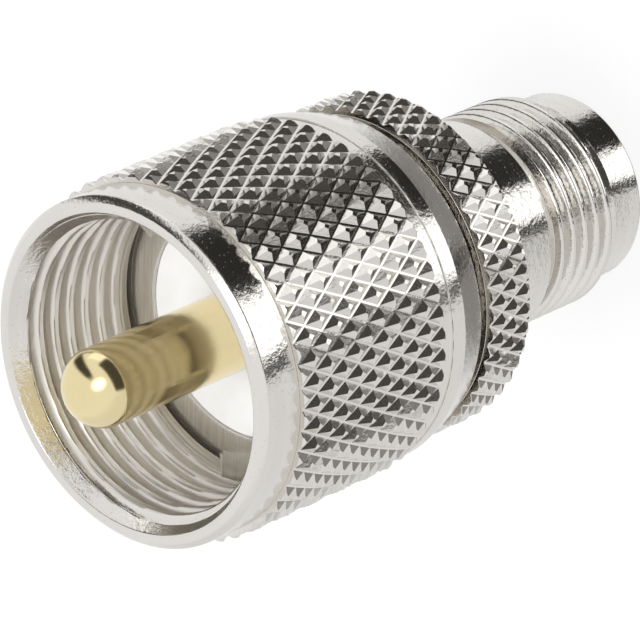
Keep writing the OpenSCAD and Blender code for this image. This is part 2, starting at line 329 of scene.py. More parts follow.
@dataclass(frozen=True)
class Knurl:
    """A band of diamonds between two crossing sets of spiral grooves.

    Attributes:
        low: Height of the first row of corners.
        rows: Half diamonds along the band.
        step: Height of half a diamond.
        count: Diamonds round the band.
        root_r: Radius at the bottom of the grooves.
        tip_r: Radius that sharp points would have.
        turn: Direction of the first corner, in degrees.
        bed: Depth of the band below its grooves.
        floor: Half the width of the flat groove bottoms.
        top: Length of ridge that is missing at each point.
        ragged: Unevenness of the tops.
        edge: Width of the rounding along every edge.
        edge_angle: Least angle between faces that is rounded, in degrees.
    """

    low: float
    rows: int
    step: float
    count: int
    root_r: float
    tip_r: float
    turn: float
    bed: float = 0.3
    floor: float = 0.07
    top: float = 0.2
    ragged: float = 0.02
    edge: float = 0.014
    edge_angle: float = 14

    @property
    def high(self) -> float:
        """Height of the last row of corners."""
        return self.low + self.rows * self.step

    @property
    def clear_r(self) -> float:
        """Radius that clears the points."""
        return self.tip_r + self.floor

    def turned(self, name: str, profile: list[Corner], facets: int) -> Object:
        """Builds the band, turns it down to a profile and rounds its edges.

        Args:
            name: Name of the new object.
            profile: Outer corners of what is left, from the lowest to the highest.
            facets: Number of facets round the profile.

        Returns:
            The finished band, in millimetres.
        """
        band = self._fold(name)
        inner_r = self.root_r - 2 * self.bed
        ends = [Corner(inner_r, profile[k].z, 0.0) for k in (0, -1)]
        Bench.keep_inside(band, [ends[0], *profile, ends[1]], facets)
        angle = math.radians(self.edge_angle)
        Bench.apply(band, "BEVEL", width=self.edge, segments=1, limit_method="ANGLE", angle_limit=angle)
        return band

    def _fold(self, name: str) -> Object:
        """Folds the band from a ring of edges, cuts its grooves and tops, and closes it inside.

        Args:
            name: Name of the new object.

        Returns:
            The band, in millimetres.
        """
        Bench.clear()
        bpy.ops.mesh.primitive_circle_add(
            vertices=2 * self.count,
            radius=self.root_r,
            location=(0, 0, self.low),
            rotation=(0, 0, math.radians(self.turn) - math.pi / 2),
        )
        obj = bpy.context.object
        obj.name = name
        bpy.ops.object.transform_apply(location=True, rotation=True, scale=True)
        bpy.ops.object.mode_set(mode="EDIT")
        bpy.ops.mesh.select_all(action="SELECT")
        for _ in range(self.rows):
            bpy.ops.mesh.extrude_edges_move(TRANSFORM_OT_translate={"value": (0, 0, self.step)})
        tips = self._tips(obj)
        Bench.pick(obj, tips)
        swell = self.tip_r / self.root_r
        bpy.ops.transform.resize(value=(swell, swell, 1), center_override=(0, 0, 0))
        Bench.pick(obj, ~tips)
        bpy.ops.mesh.vert_connect()
        self._cut_grooves(obj)
        self._cut_tops(obj)
        self._close(obj)
        return obj

    def _tips(self, obj: Object) -> np.ndarray:
        """Returns the mask of every other vertex, like the dark squares of a chess board."""
        co = Bench.places(obj)
        row = np.rint((co[:, 2] - self.low) / self.step).astype(int)
        turn = np.arctan2(co[:, 1], co[:, 0]) - math.radians(self.turn)
        side = np.rint(turn / FULL_TURN * 2 * self.count).astype(int)
        return (row + side) % 2 == 0

    def _cut_grooves(self, obj: Object) -> None:
        """Gives the grooves between the diamonds their flat bottoms."""
        co = Bench.places(obj)
        low = np.hypot(co[:, 0], co[:, 1]) < (self.root_r + self.tip_r) / 2
        ends = np.empty(len(obj.data.edges) * 2, int)
        obj.data.edges.foreach_get("vertices", ends)
        Bench.pick(obj, np.zeros(len(co), bool))
        bpy.ops.mesh.select_mode(type="EDGE")
        bpy.ops.object.mode_set(mode="OBJECT")
        obj.data.edges.foreach_set("select", low[ends].reshape(-1, 2).all(axis=1))
        bpy.ops.object.mode_set(mode="EDIT")
        bpy.ops.mesh.bevel(offset=self.floor, segments=1, affect="EDGES")

    def _cut_tops(self, obj: Object) -> None:
        """Cuts the points off unevenly, as a knurling wheel leaves them."""
        co = Bench.places(obj)
        sharp = np.hypot(co[:, 0], co[:, 1]) > self.tip_r - WELD
        inner = (co[:, 2] > self.low + WELD) & (co[:, 2] < self.high - WELD)
        Bench.pick(obj, sharp & inner)
        bpy.ops.mesh.bevel(offset=self.top, segments=1, affect="VERTICES")
        bpy.ops.transform.vertex_random(offset=self.ragged, uniform=0.6, normal=0.4, seed=7)

    def _close(self, obj: Object) -> None:
        """Closes the band with end faces and a bed inside."""
        bpy.ops.mesh.select_mode(type="VERT")
        bpy.ops.mesh.select_all(action="SELECT")
        bpy.ops.mesh.region_to_loop()
        bpy.ops.mesh.extrude_edges_move()
        shrink = (self.root_r - self.bed) / self.tip_r
        bpy.ops.transform.resize(value=(shrink, shrink, 1), center_override=(0, 0, 0))
        bpy.ops.mesh.bridge_edge_loops()
        bpy.ops.mesh.select_all(action="SELECT")
        bpy.ops.mesh.normals_make_consistent(inside=False)
        bpy.ops.object.mode_set(mode="OBJECT")


class Tree:
    """A node tree with short calls that add and link its nodes."""

    def __init__(self, tree: NodeTree) -> None:
        """Keeps the tree to work on."""
        self.tree = tree

    @classmethod
    def emptied(cls, owner: Material | World) -> "Tree":
        """Returns the emptied node tree of a material or a world."""
        owner.use_nodes = True
        owner.node_tree.nodes.clear()
        return cls(owner.node_tree)

    def feed(self, socket: NodeSocket, value: object) -> None:
        """Links a socket to another one, or sets its value."""
        if isinstance(value, NodeSocket):
            self.tree.links.new(value, socket)
        else:
            socket.default_value = value

    def add(self, kind: str, inputs: dict | None = None, **settings: object) -> Node:
        """Adds a node.

        Args:
            kind: The node's type without its common prefix.
            inputs: Values or sockets for its inputs, by name or number.
            **settings: Properties of the node itself.

        Returns:
            The new node.
        """
        node = self.tree.nodes.new("ShaderNode" + kind)
        for name, value in settings.items():
            setattr(node, name, value)
        for key, value in (inputs or {}).items():
            self.feed(node.inputs[key], value)
        return node

    def math(self, operation: str, a: object, b: object = 0.0) -> NodeSocket:
        """Adds a Math node and returns its result."""
        return self.add("Math", {0: a, 1: b}, operation=operation).outputs[0]

    def blend(self, share: object, first: Rgb, second: Rgb) -> NodeSocket:
        """Adds a Mix node for two colours and returns its result."""
        return self.add("Mix", {0: share, 6: (*first, 1), 7: (*second, 1)}, data_type="RGBA").outputs[2]

    def fade(self, share: object, first: object, second: object) -> NodeSocket:
        """Adds a Mix node for two numbers and returns its result."""
        inputs = {"Factor": share, "A": first, "B": second}
        return self.add("Mix", inputs, data_type="FLOAT").outputs["Result"]

    def noise(self, place: NodeSocket, scale: object, detail: float, rough: float = 0.5) -> NodeSocket:
        """Adds a Noise Texture node and returns its value."""
        inputs = {"Vector": place, "Scale": scale, "Detail": detail, "Roughness": rough}
        return self.add("TexNoise", inputs).outputs["Fac"]

    def ramp(self, value: object, low: float, high: float, to: tuple[float, float]) -> NodeSocket:
        """Adds a smooth Map Range node.

        Args:
            value: The input.
            low: Input at the start of the range.
            high: Input at its end.
            to: The results at the start and the end.

        Returns:
            The mapped value.
        """
        node = self.add("MapRange", {"Value": value}, interpolation_type="SMOOTHSTEP")
        for key, number in zip(("From Min", "From Max", "To Min", "To Max"), (low, high, *to)):
            node.inputs[key].default_value = number
        return node.outputs["Result"]


class Effects:
    """Surface effects that several finishes share, each a node group that is built once.

    Attributes:
        SLOW: Scale of the slow changes between turning lines, against the lines' own.
        STRETCH: Breadth of a milled mark against its length.
        PIT_SCALE: Scale of the pits against the grain's.
    """

    SLOW = 0.13
    STRETCH = 0.04
    PIT_SCALE = 0.45

    @staticmethod
    def group(
        name: str, inputs: dict[str, float], outputs: tuple[str, ...]
    ) -> tuple[Tree, dict[str, NodeSocket], Node]:
        """Starts a node group with float sockets.

        Args:
            name: The group's name.
            inputs: Its inputs with their starting values.
            outputs: Names of its outputs.

        Returns:
            The tree, its input sockets by name, and its output node.
        """
        made = bpy.data.node_groups.new(name, "ShaderNodeTree")
        for key, value in inputs.items():
            socket = made.interface.new_socket(key, in_out="INPUT", socket_type="NodeSocketFloat")
            socket.default_value = value
        for key in outputs:
            made.interface.new_socket(key, in_out="OUTPUT", socket_type="NodeSocketFloat")
        entry = made.nodes.new("NodeGroupInput")
        leave = made.nodes.new("NodeGroupOutput")
        return Tree(made), {s.name: s for s in entry.outputs if s.name}, leave

    @cached_property
    def turning_lines(self) -> NodeTree:
        """The fine rings that a turning tool leaves, by radius and height."""
        inputs = {"Lines per mm": 14.0, "Wander": 0.25}
        tree, given, leave = self.group("turning_lines", inputs, ("Height", "Tone"))
        parts = tree.add("SeparateXYZ", {0: tree.add("TexCoord").outputs["Object"]})
        flat = tree.add("CombineXYZ", {"X": parts.outputs["X"], "Y": parts.outputs["Y"]})
        radius = tree.add("VectorMath", {0: flat.outputs[0]}, operation="LENGTH").outputs["Value"]
        turn = tree.math("ARCTAN2", parts.outputs["Y"], parts.outputs["X"])
        per_metre = tree.math("MULTIPLY", given["Lines per mm"], 1 / MM)
        across = tree.math("MULTIPLY", tree.math("ADD", radius, parts.outputs["Z"]), per_metre)
        along = tree.math("MULTIPLY", turn, given["Wander"])
        spot = tree.add("CombineXYZ", {"X": across, "Y": along}).outputs[0]
        tree.feed(leave.inputs["Height"], tree.noise(spot, 1.0, 3.0))
        tree.feed(leave.inputs["Tone"], tree.noise(spot, self.SLOW, 2.0))
        return tree.tree

    @cached_property
    def milled_grain(self) -> NodeTree:
        """The straight parallel marks of a face mill, along one direction in the plan."""
        inputs = {"Turn": 0.0, "Lines per mm": 9.0}
        tree, given, leave = self.group("milled_grain", inputs, ("Height", "Tone"))
        place = tree.add("TexCoord").outputs["Object"]
        turned = tree.add("VectorRotate", {"Vector": place, "Angle": given["Turn"]}, rotation_type="Z_AXIS")
        parts = tree.add("SeparateXYZ", {0: turned.outputs[0]})
        per_metre = tree.math("MULTIPLY", given["Lines per mm"], 1 / MM)
        across = tree.math("MULTIPLY", parts.outputs["Y"], per_metre)
        along = tree.math("MULTIPLY", parts.outputs["X"], tree.math("MULTIPLY", per_metre, self.STRETCH))
        spot = tree.add("CombineXYZ", {"X": across, "Y": along, "Z": parts.outputs["Z"]}).outputs[0]
        fine = tree.noise(spot, 1.0, 3.0)
        tree.feed(leave.inputs["Height"], fine)
        tree.feed(leave.inputs["Tone"], tree.ramp(fine, 0.35, 0.65, (0.0, 1.0)))
        return tree.tree

    @cached_property
    def specks(self) -> NodeTree:
        """The small pits and grains of a plated surface."""
        tree, given, leave = self.group("plating_specks", {"Grains per mm": 11.0}, ("Height", "Pits"))
        place = tree.add("TexCoord").outputs["Object"]
        scale = tree.math("MULTIPLY", given["Grains per mm"], 1 / MM)
        pit_scale = tree.math("MULTIPLY", scale, self.PIT_SCALE)
        cells = tree.add("TexVoronoi", {"Vector": place, "Scale": pit_scale})
        tree.feed(leave.inputs["Height"], tree.noise(place, scale, 2.0, 0.6))
        tree.feed(leave.inputs["Pits"], tree.ramp(cells.outputs["Distance"], 0.05, 0.22, (1.0, 0.0)))
        return tree.tree

    @cached_property
    def waves(self) -> NodeTree:
        """The slight waviness under a plated surface."""
        tree, given, leave = self.group("plating_waves", {"Waves per mm": 3.0}, ("Height",))
        place = tree.add("TexCoord").outputs["Object"]
        scale = tree.math("MULTIPLY", given["Waves per mm"], 1 / MM)
        tree.feed(leave.inputs["Height"], tree.noise(place, scale, 3.0, 0.55))
        return tree.tree

    @cached_property
    def clouds(self) -> NodeTree:
        """Broad soft patches, as left by handling and moulding."""
        tree, given, leave = self.group("soft_clouds", {"Patch mm": 3.0}, ("Tone",))
        place = tree.add("TexCoord").outputs["Object"]
        scale = tree.math("DIVIDE", 1 / MM, given["Patch mm"])
        tree.feed(leave.inputs["Tone"], tree.noise(place, scale, 4.0))
        return tree.tree


EFFECTS = Effects()


@dataclass(frozen=True)
class MetalFinish:
    """A plated metal.

    Attributes:
        name: Name of the material.
        pale: Colour on the cleanest places.
        deep: Colour in pits and patches.
        roughness: Roughness on the most polished places.
        spread: Roughness added on the dullest places.
        ring_depth: Depth of the turning lines, in micrometres.
        ring_lines: Turning lines in a millimetre.
        wave_depth: Depth of the plating's waviness, in micrometres.
        waves: Waves in a millimetre.
        speck_depth: Depth of the plating's grain, in micrometres.
        specks: Grains in a millimetre.
        pit_dullness: Roughness added in the plating's small pits.
        pit_wear: Share of the duller look that the pits take.
        grain_depth: Depth of straight milled marks, in micrometres, none at 0.
        grain_turn: Direction of those marks, in degrees.
    """

    name: str
    pale: Rgb
    deep: Rgb
    roughness: float
    spread: float
    ring_depth: float = 0.0
    ring_lines: float = 14.0
    wave_depth: float = 0.0
    waves: float = 3.0
    speck_depth: float = 0.0
    specks: float = 11.0
    pit_dullness: float = 0.0
    pit_wear: float = 0.35
    grain_depth: float = 0.0
    grain_turn: float = 0.0

    @cached_property
    def material(self) -> Material:
        """The material, built once from the shared effects."""
        made = bpy.data.materials.new(self.name)
        tree = Tree.emptied(made)
        clouds = tree.add("Group", node_tree=EFFECTS.clouds)
        specks = tree.add("Group", {"Grains per mm": self.specks}, node_tree=EFFECTS.specks)
        waves = tree.add("Group", {"Waves per mm": self.waves}, node_tree=EFFECTS.waves)
        if self.grain_depth:
            turn = math.radians(self.grain_turn)
            marks = tree.add("Group", {"Turn": turn}, node_tree=EFFECTS.milled_grain)
        else:
            marks = tree.add("Group", {"Lines per mm": self.ring_lines}, node_tree=EFFECTS.turning_lines)
        wear = tree.math("MULTIPLY", marks.outputs["Tone"], clouds.outputs["Tone"])
        wear = tree.math("ADD", wear, tree.math("MULTIPLY", specks.outputs["Pits"], self.pit_wear))
        most = self.roughness + self.spread
        dull = tree.add("MapRange", {"Value": wear, "To Min": self.roughness, "To Max": most})
        pits = tree.math("MULTIPLY", specks.outputs["Pits"], self.pit_dullness)
        normal = None
        for height, microns in (
            (waves.outputs["Height"], self.wave_depth),
            (specks.outputs["Height"], self.speck_depth),
            (marks.outputs["Height"], self.grain_depth or self.ring_depth),
        ):
            bump = tree.add("Bump", {"Height": height, "Strength": 1.0, "Distance": microns * MICRON})
            if normal:
                tree.feed(bump.inputs["Normal"], normal)
            normal = bump.outputs[0]
        shader = tree.add(
            "BsdfPrincipled",
            {
                "Base Color": tree.blend(wear, self.pale, self.deep),
                "Metallic": 1.0,
                "Roughness": tree.math("ADD", dull.outputs["Result"], pits),
                "Normal": normal,
            },
        )
        tree.add("OutputMaterial", {"Surface": shader.outputs[0]})
        return made


@dataclass(frozen=True)
class InsulatorFinish:
    """The white insulating plastic.

    Attributes:
        name: Name of the material.
        pale: Colour of clean plastic.
        deep: Colour of its darker patches.
        roughness: Roughness on the smoothest places.
        spread: Roughness added on the dullest places.
        ring_depth: Depth of the turning lines, in micrometres.
        ring_lines: Turning lines in a millimetre.
        gloss: Strength of its mirroring, where 0.5 is common.
        milky: Share of the light that goes into it.
        milky_depth: How far red, green and blue go, in metres.
        milky_scale: Factor on that depth.
    """

    name: str = "white_plastic"
    pale: Rgb = (0.93, 0.93, 0.93)
    deep: Rgb = (0.86, 0.855, 0.84)
    roughness: float = 0.5
    spread: float = 0.12
    ring_depth: float = 3.0
    ring_lines: float = 6.0
    gloss: float = 0.3
    milky: float = 0.15
    milky_depth: Rgb = (0.0012, 0.0012, 0.001)
    milky_scale: float = 0.5

    @cached_property
    def material(self) -> Material:
        """The material, built once from the shared effects."""
        made = bpy.data.materials.new(self.name)
        tree = Tree.emptied(made)
        clouds = tree.add("Group", node_tree=EFFECTS.clouds)
        rings = tree.add("Group", {"Lines per mm": self.ring_lines}, node_tree=EFFECTS.turning_lines)
        tone = tree.ramp(clouds.outputs["Tone"], 0.4, 0.75, (0.0, 1.0))
        dull = tree.ramp(rings.outputs["Tone"], 0.3, 0.7, (self.roughness, self.roughness + self.spread))
        depth = self.ring_depth * MICRON
        bump = tree.add("Bump", {"Height": rings.outputs["Height"], "Strength": 1.0, "Distance": depth})
        shader = tree.add(
            "BsdfPrincipled",
            {
                "Base Color": tree.blend(tone, self.pale, self.deep),
                "Roughness": dull,
                "Specular IOR Level": self.gloss,
                "Subsurface Weight": self.milky,
                "Subsurface Radius": self.milky_depth,
                "Subsurface Scale": self.milky_scale,
                "Normal": bump.outputs[0],
            },
        )
        tree.add("OutputMaterial", {"Surface": shader.outputs[0]})
        return made


NICKEL = MetalFinish(
    "turned_nickel",
    pale=(0.80, 0.78, 0.745),
    deep=(0.64, 0.61, 0.565),
    roughness=0.10,
    spread=0.14,
    ring_depth=1.5,
    wave_depth=17,
    waves=3.2,
    speck_depth=6,
    specks=7.0,
    pit_dullness=0.22,
)
THREAD_NICKEL = MetalFinish(
    "threaded_nickel",
    pale=(0.80, 0.77, 0.72),
    deep=(0.66, 0.62, 0.56),
    roughness=0.28,
    spread=0.12,
    ring_depth=2.5,
    wave_depth=8,
    speck_depth=3,
)
KNURLED_NICKEL = MetalFinish(
    "knurled_nickel",
    pale=(0.80, 0.78, 0.745),
    deep=(0.64, 0.61, 0.565),
    roughness=0.11,
    spread=0.12,
    wave_depth=8,
    waves=4.0,
    speck_depth=4,
)
MILLED_NICKEL = MetalFinish(
    "milled_nickel",
    pale=(0.88, 0.855, 0.80),
    deep=(0.68, 0.65, 0.58),
    roughness=0.32,
    spread=0.18,
    wave_depth=6,
    speck_depth=4,
    grain_depth=6,
    grain_turn=-145,
)
SPRING_STEEL = MetalFinish(
    "spring_wire",
    pale=(0.58, 0.57, 0.55),
    deep=(0.42, 0.41, 0.39),
    roughness=0.24,
    spread=0.15,
    ring_depth=3,
    ring_lines=10.0,
    wave_depth=6,
    speck_depth=3,
)
GILT = MetalFinish(
    "gilt",
    pale=(0.86, 0.745, 0.455),
    deep=(0.78, 0.63, 0.32),
    roughness=0.11,
    spread=0.08,
    ring_depth=0.8,
    wave_depth=3,
    waves=2.0,
    speck_depth=0.8,
)


@dataclass
class CouplingNut:
    """The knurled nut with its inner thread, which turns and slides on the body's sleeve."""

    rear_z: float
    rim_z: float
    facets: int = 216
    tail_r: float = 8.53
    tail_len: float = 1.8
    collar_r: float = 9.0
    collar_top: float = 19.2
    land_r: float = 8.92
    land_top: float = 19.95
    core_r: float = 8.81
    band_r: float = 8.85
    band_low: float = 30.05
    rim_r: float = 8.52
    rim_inner_r: float = 8.08
    mouth_len: float = 1.15
    crest_r: float = 7.38
    root_r: float = 7.93
    pitch: float = 1.058
    thread_end: float = 24.85
    clear_r: float = 7.75
    clear_end: float = 24.1
    bore_r: float = 7.4
    groove_r: float = 7.87
    groove_low: float = 18.15
    groove_high: float = 19.05
    chamfer: float = 0.12
    knurl_end_r: float = 9.12
    knurl: Knurl = Knurl(low=18.0, rows=14, step=1.0, count=51, root_r=8.93, tip_r=9.34, turn=1.12)

    def section(self) -> list[Corner]:
        """Returns the nut's half section, from the rear face round the outside to the bore."""
        bevel = self.band_r - self.rim_r
        return [
            Corner(self.bore_r + self.chamfer, self.rear_z),
            Corner(self.tail_r - self.chamfer, self.rear_z),
            Corner(self.tail_r, self.rear_z + self.chamfer),
            Corner(self.collar_r, self.rear_z + self.tail_len),
            Corner(self.collar_r, self.collar_top),
            Corner(self.land_r, self.collar_top, 0.02),
            Corner(self.land_r, self.land_top),
            Corner(self.core_r, self.land_top),
            Corner(self.core_r, self.band_low),
            Corner(self.band_r, self.band_low),
            Corner(self.band_r, self.rim_z - bevel, 0.05),
            Corner(self.rim_r, self.rim_z, 0.05),
            Corner(self.rim_inner_r, self.rim_z, 0.05),
            Corner(self.crest_r, self.rim_z - self.mouth_len, 0.0),
            Corner(self.crest_r, self.thread_end, 0.0),
            Corner(self.clear_r, self.thread_end),
            Corner(self.clear_r, self.clear_end),
            Corner(self.bore_r, self.clear_end),
            Corner(self.bore_r, self.groove_high),
            Corner(self.groove_r, self.groove_high),
            Corner(self.groove_r, self.groove_low),
            Corner(self.bore_r, self.groove_low),
            Corner(self.bore_r, self.rear_z + self.chamfer),
        ]

    def build(self) -> tuple[Object, Object]:
        """Turns the nut, cuts its thread and makes the knurl.

        Returns:
            The turned nut and its knurl, in millimetres.
        """
        thread = Thread(
            crest_r=self.crest_r,
            root_r=self.root_r,
            pitch=self.pitch,
            low=self.thread_end,
            high=self.rim_z,
            runout=self.pitch,
            inner_end=self.thread_end,
            crest=0.26,
            root=0.1,
            rows=32,
        )
        nut = Bench.section("knurled_nut", self.section(), closed=True)
        inner = Corner(self.crest_r, self.thread_end)
        outer = Corner(self.crest_r, self.rim_z - self.mouth_len)
        rim = Corner(self.rim_inner_r, self.rim_z)
        Bench.divide(nut, outer, rim, thread.cuts_in(self.mouth_len))
        Bench.divide(nut, inner, outer, thread.cuts_in(outer.z - inner.z))
        Bench.spin(nut, self.facets)
        thread.cut(nut)
        Bench.smooth(nut)
        return nut, self.nut_knurl()

    def nut_knurl(self) -> Object:
        """Makes the nut's knurl with both its ends chamfered.

        Returns:
            The knurl, in millimetres.
        """
        outer = self.knurl.clear_r
        slope = outer - self.knurl_end_r
        low, high = self.land_top, self.band_low
        profile = [
            Corner(outer - slope, low, 0.0),
            Corner(outer, low + slope, 0.0),
            Corner(outer, high - slope, 0.0),
            Corner(outer - slope, high, 0.0),
        ]
        return self.knurl.turned("nut_knurl", profile, self.facets)

    def dress(self) -> Object:
        """Gives the turned faces and the knurl their finish and joins them.

        Returns:
            The nut, riding on its body.
        """
        nut, knurl = self.build()
        nut.data.materials.append(NICKEL.material)
        nut.data.materials.append(THREAD_NICKEL.material)
        mouth_z = self.rim_z - self.mouth_len
        for face in nut.data.polygons:
            x, y, z = face.center
            if math.hypot(x, y) < self.root_r + WELD and self.clear_end < z < mouth_z:
                face.material_index = 1
        knurl.data.materials.append(KNURLED_NICKEL.material)
        Bench.join(nut, knurl)
        Bench.to_metres(nut)
        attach(nut, "nut")
        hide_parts("coupling_nut")
        return nut


@dataclass
class AdapterBody:
    """The turned body: jack shell, knurled flange and the plug's sleeve with its two teeth."""

    facets: int = 216
    lip_r: float = 4.9
    lip_len: float = 2.5
    lip_chamfer: float = 0.25
    thread_r: float = 5.55
    thread_root_r: float = 5.06
    thread_top: float = 7.1
    thread_chamfer: float = 0.35
    pitch: float = 0.907
    relief_r: float = 5.1
    relief_top: float = 8.0
    shank_r: float = 5.65
    flange_low: float = 12.9
    flange_high: float = 15.9
    flange_rear_r: float = 8.4
    core_r: float = 8.24
    sleeve_r: float = 7.28
    groove_r: float = 6.67
    groove_low: float = 18.15
    groove_high: float = 21.05
    face_z: float = 24.6
    sleeve_bore_r: float = 5.85
    core_bore_r: float = 3.25
    seat_z: float = 9.4
    nose_r: float = 2.395
    mouth_depth: float = 8.4
    mouth_r: float = 4.06
    mouth_chamfer: float = 0.35
    tooth_h: float = 1.8
    tooth_angle: float = 60
    tooth_turn: float = 173
    tooth_foot: float = 0.4
    tooth_edge: float = 0.04
    milled_depth: float = 0.06
    knurl: Knurl = Knurl(low=12.33, rows=6, step=0.88, count=52, root_r=8.36, tip_r=8.77, turn=2.84)

    def section(self) -> list[Corner]:
        """Returns the body's half section, from the jack's end round the outside to its bore."""
        return [
            Corner(self.mouth_r + self.mouth_chamfer, 0),
            Corner(self.lip_r - self.lip_chamfer, 0),
            Corner(self.lip_r, self.lip_chamfer, 0.05),
            Corner(self.lip_r, self.lip_len),
            Corner(self.thread_r - self.thread_chamfer, self.lip_len, 0.0),
            Corner(self.thread_r, self.lip_len + self.thread_chamfer, 0.0),
            Corner(self.thread_r, self.thread_top, 0.0),
            Corner(self.relief_r, self.thread_top),
            Corner(self.relief_r, self.relief_top),
            Corner(self.shank_r, self.relief_top),
            Corner(self.shank_r, self.flange_low),
            Corner(self.core_r, self.flange_low),
            Corner(self.core_r, self.flange_high),
            Corner(self.sleeve_r, self.flange_high),
            Corner(self.sleeve_r, self.groove_low),
            Corner(self.groove_r, self.groove_low),
            Corner(self.groove_r, self.groove_high),
            Corner(self.sleeve_r, self.groove_high),
            Corner(self.sleeve_r, self.face_z, 0.04),
            Corner(self.sleeve_bore_r, self.face_z, 0.04),
            Corner(self.sleeve_bore_r, self.flange_high),
            Corner(self.core_bore_r, self.flange_high),
            Corner(self.core_bore_r, self.seat_z),
            Corner(self.nose_r, self.seat_z),
            Corner(self.nose_r, self.mouth_depth),
            Corner(self.mouth_r, self.mouth_depth),
            Corner(self.mouth_r, self.mouth_chamfer),
        ]

    def tooth(self, turn: float) -> Object:
        """Cuts one locking tooth out of a turned ring, with its flanks on lines through the axis.

        Args:
            turn: Direction of the tooth's middle, in degrees.

        Returns:
            The tooth, in millimetres.
        """
        top = self.face_z + self.tooth_h
        foot = self.face_z - self.tooth_foot
        ring = [
            Corner(self.sleeve_bore_r, foot, 0.0),
            Corner(self.sleeve_r, foot, 0.0),
            Corner(self.sleeve_r, top, 0.0),
            Corner(self.sleeve_bore_r, top, 0.0),
        ]
        obj = Bench.section("tooth", ring, closed=True)
        Bench.spin(obj, self.facets)
        middle = Vector((0, 0, self.face_z + self.tooth_h / 2))
        slope = math.sqrt(0.5)
        for way in (-1, 1):
            edge = math.radians(turn + way * self.tooth_angle / 2)
            across = Vector((-math.sin(edge), math.cos(edge), 0)) * way
            bpy.ops.mesh.select_all(action="SELECT")
            bpy.ops.mesh.bisect(
                plane_co=middle,
                plane_no=(across + Vector((0, 0, 1))) * slope,
                use_fill=True,
                clear_outer=True,
                threshold=WELD,
            )
        Bench.weld()
        Bench.apply(obj, "BEVEL", width=self.tooth_edge, segments=2, limit_method="ANGLE")
        return obj

    def flange_knurl(self) -> Object:
        """Makes the flange's knurl with its rear edge chamfered.

        Returns:
            The knurl, in millimetres.
        """
        outer = self.knurl.clear_r
        profile = [
            Corner(self.flange_rear_r, self.flange_low, 0.0),
            Corner(outer, self.flange_low + outer - self.flange_rear_r, 0.0),
            Corner(outer, self.flange_high - self.knurl.edge, 0.0),
        ]
        return self.knurl.turned("flange_knurl", profile, self.facets)

    def build(self) -> list[Object]:
        """Turns the body, cuts its thread and makes the teeth and the flange's knurl.

        Returns:
            The turned body, the two teeth and the knurl, in millimetres.
        """
        thread = Thread(
            crest_r=self.thread_r,
            root_r=self.thread_root_r,
            pitch=self.pitch,
            low=self.lip_len,
            high=self.thread_top,
            runout=self.pitch / 2,
            inner_end=self.thread_top + self.pitch,
            crest=0.12,
            root=0.1,
        )
        body = Bench.section("turned_body", self.section(), closed=True)
        first = Corner(self.thread_r, self.lip_len + self.thread_chamfer)
        last = Corner(self.thread_r, self.thread_top)
        Bench.divide(body, first, last, thread.cuts_in(thread.high - thread.low))
        Bench.spin(body, self.facets)
        thread.cut(body)
        Bench.smooth(body)
        teeth = [self.tooth(self.tooth_turn + half) for half in (0, 180)]
        for tooth in teeth:
            Bench.smooth(tooth, 25)
        return [body, *teeth, self.flange_knurl()]

    def dress(self) -> Object:
        """Gives the turned, milled and knurled faces their finish and joins them.

        Returns:
            The body, riding on its frame.
        """
        body, first, second, knurl = self.build()
        milled = MILLED_NICKEL.material
        body.data.materials.append(NICKEL.material)
        body.data.materials.append(milled)
        for face in body.data.polygons:
            if face.center.z > self.face_z - self.milled_depth:
                face.material_index = 1
        for tooth in (first, second):
            tooth.data.materials.append(milled)
        knurl.data.materials.append(KNURLED_NICKEL.material)
        Bench.join(body, first, second, knurl)
        Bench.to_metres(body)
        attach(body, "body")
        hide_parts("adapter_body")
        return body


@dataclass
class CentrePin:
    """The gilt pin with its rounded tip."""

    tip_z: float
    foot_z: float
    facets: int = 128
    pin_r: float = 1.98
    tip_h: float = 1.6
    root_r: float = 1.7
    seat_z: float = 24.5
    chamfer: float = 0.12
    hole_r: float = 0.82
    hole_depth: float = 4.62
    arc_points: int = 24

    def section(self) -> list[Corner]:
        """Returns the pin's half section, from its hole round the outside to the tip."""
        ball_r = (self.pin_r**2 + self.tip_h**2) / (2 * self.tip_h)
        spread = math.asin(self.pin_r / ball_r)
        angles = [spread * (1 - i / self.arc_points) for i in range(1, self.arc_points + 1)]
        dome = [
            Corner(ball_r * math.sin(a), self.tip_z - ball_r * (1 - math.cos(a)), 0.0) for a in angles
        ]
        return [
            Corner(0, self.foot_z + self.hole_depth, 0.0),
            Corner(self.hole_r, self.foot_z + self.hole_depth),
            Corner(self.hole_r, self.foot_z),
            Corner(self.root_r, self.foot_z),
            Corner(self.root_r, self.seat_z),
            Corner(self.pin_r - self.chamfer, self.seat_z),
            Corner(self.pin_r, self.seat_z + self.chamfer),
            Corner(self.pin_r, self.tip_z - self.tip_h, 0.02),
            *dome,
        ]

    def dress(self) -> Object:
        """Turns the pin and gives it its finish.

        Returns:
            The pin, riding on the body.
        """
        pin = Bench.section("gilt_pin", self.section(), closed=False)
        Bench.spin(pin, self.facets)
        Bench.smooth(pin, 30)
        Bench.to_metres(pin)
        pin.data.materials.append(GILT.material)
        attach(pin, "body")
        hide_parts("centre_pin")
        return pin


